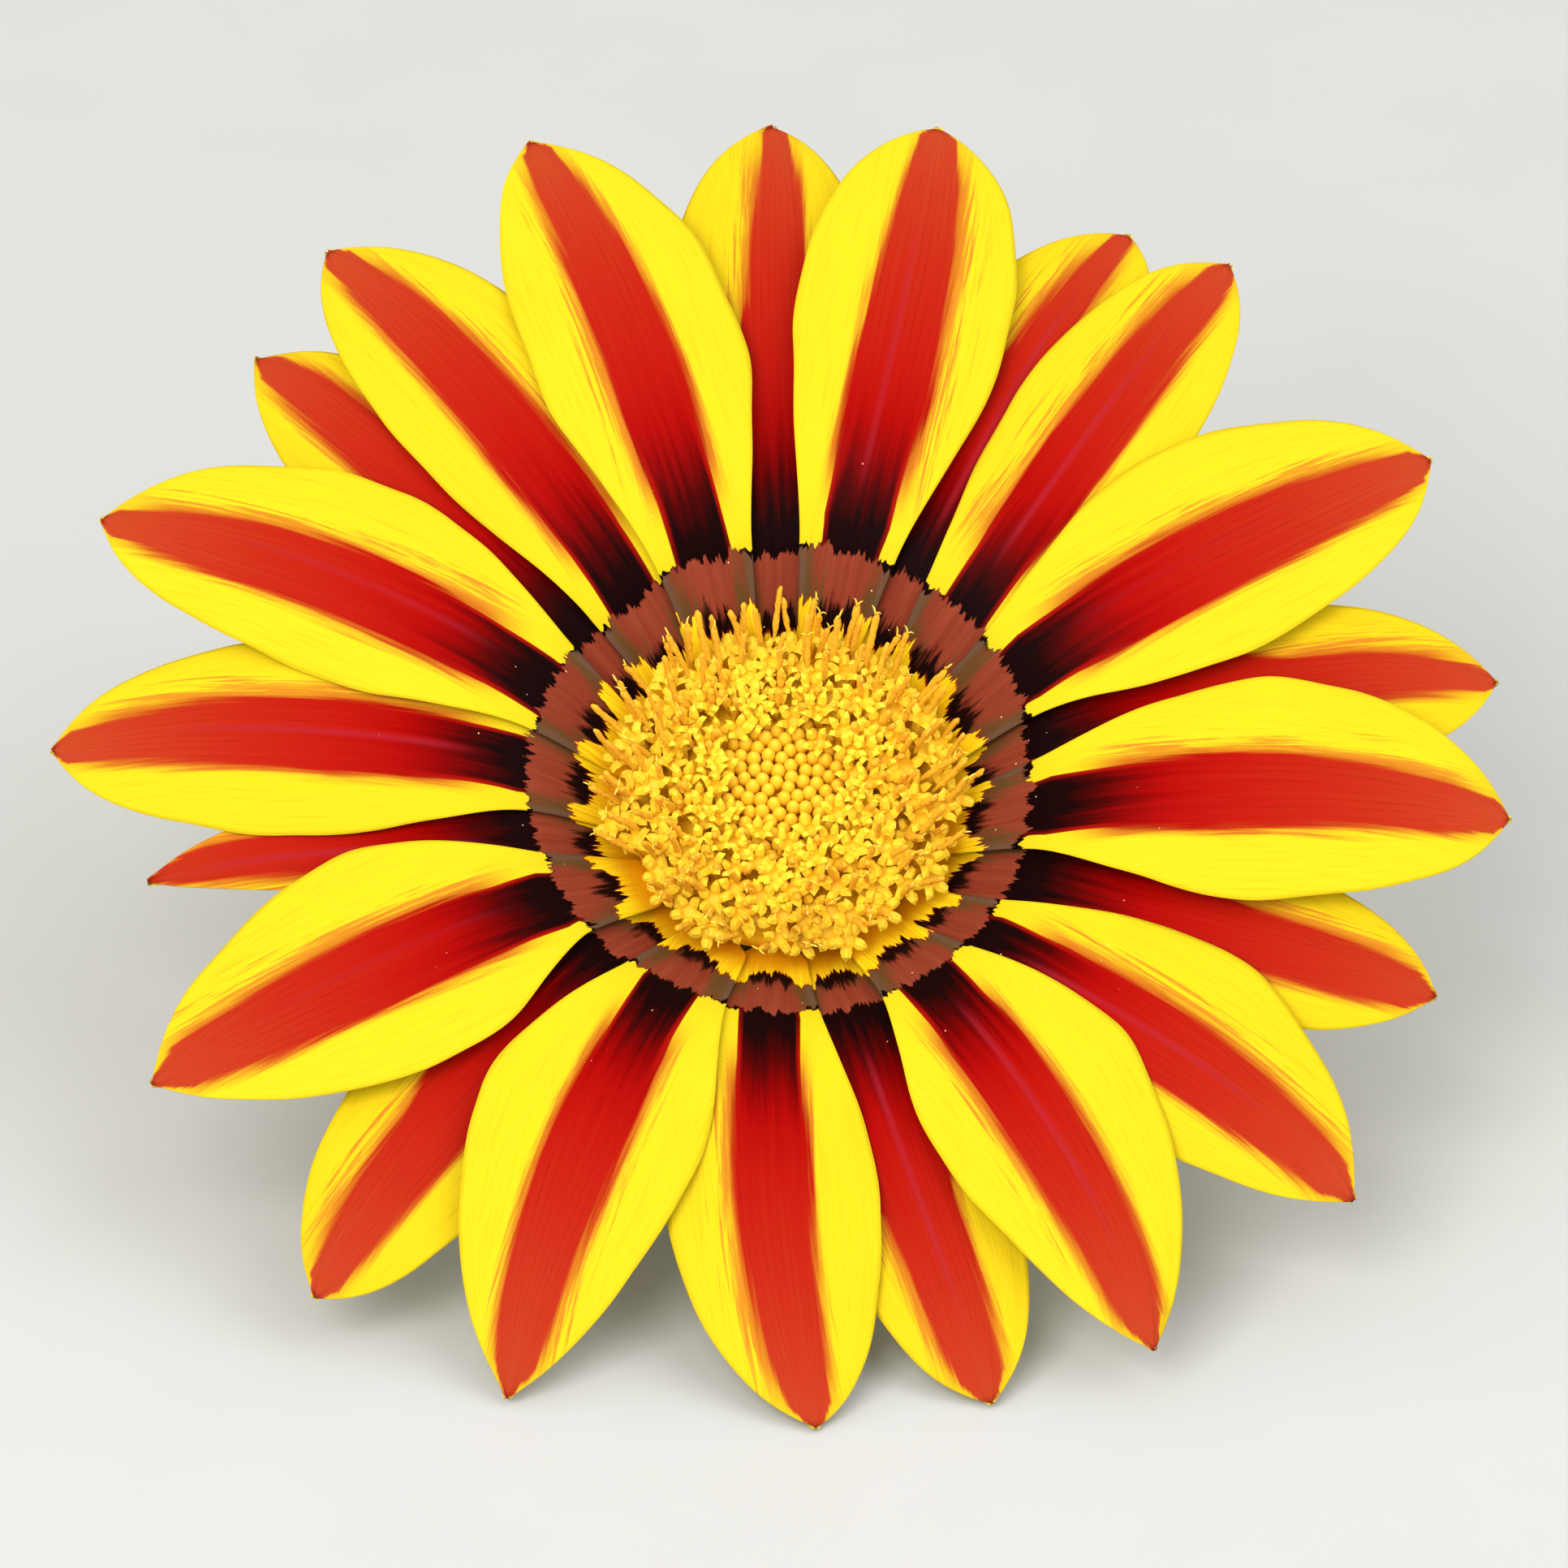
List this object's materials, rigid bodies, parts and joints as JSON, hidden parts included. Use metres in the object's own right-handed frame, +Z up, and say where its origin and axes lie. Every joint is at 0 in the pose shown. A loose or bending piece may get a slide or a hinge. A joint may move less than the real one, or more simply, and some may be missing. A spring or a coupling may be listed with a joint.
{
  "type": "gazania flower",
  "caption": "Picked gazania bloom with overlapping striped ray petals, a dense tubular disc, a toothed green involucre cup and a leafless curved scape, lying at rest.",
  "frame": {"origin": "on the surface the flower lies on, under the middle of its bounding box", "axes": "+Z up, the face of the bloom leans towards -Y, the scape lies towards +Y, +X to the viewer's right"},
  "size_m": [0.0842, 0.123, 0.0477],
  "materials": {
    "ray_petal": "satin, finely ribbed, red stripe on yellow",
    "disc_bud": "waxy satin",
    "disc_floret": "satin",
    "anther": "powdery with pollen",
    "involucre": "matt fresh green",
    "scape": "satin fresh green"
  },
  "bodies": {
    "root": {"ray_01": "ray_petal", "ray_02": "ray_petal", "ray_03": "ray_petal", "ray_04": "ray_petal", "ray_05": "ray_petal", "ray_06": "ray_petal", "ray_07": "ray_petal", "ray_08": "ray_petal", "ray_09": "ray_petal", "ray_10": "ray_petal", "ray_11": "ray_petal", "ray_12": "ray_petal", "ray_13": "ray_petal", "ray_14": "ray_petal", "ray_15": "ray_petal", "ray_16": "ray_petal", "ray_17": "ray_petal", "ray_18": "ray_petal", "ray_19": "ray_petal", "ray_20": "ray_petal", "ray_21": "ray_petal", "disc_buds": "disc_bud", "disc_florets": "disc_floret", "disc_anthers": "anther", "involucre": "involucre", "scape": "scape"}
  },
  "joints": []
}
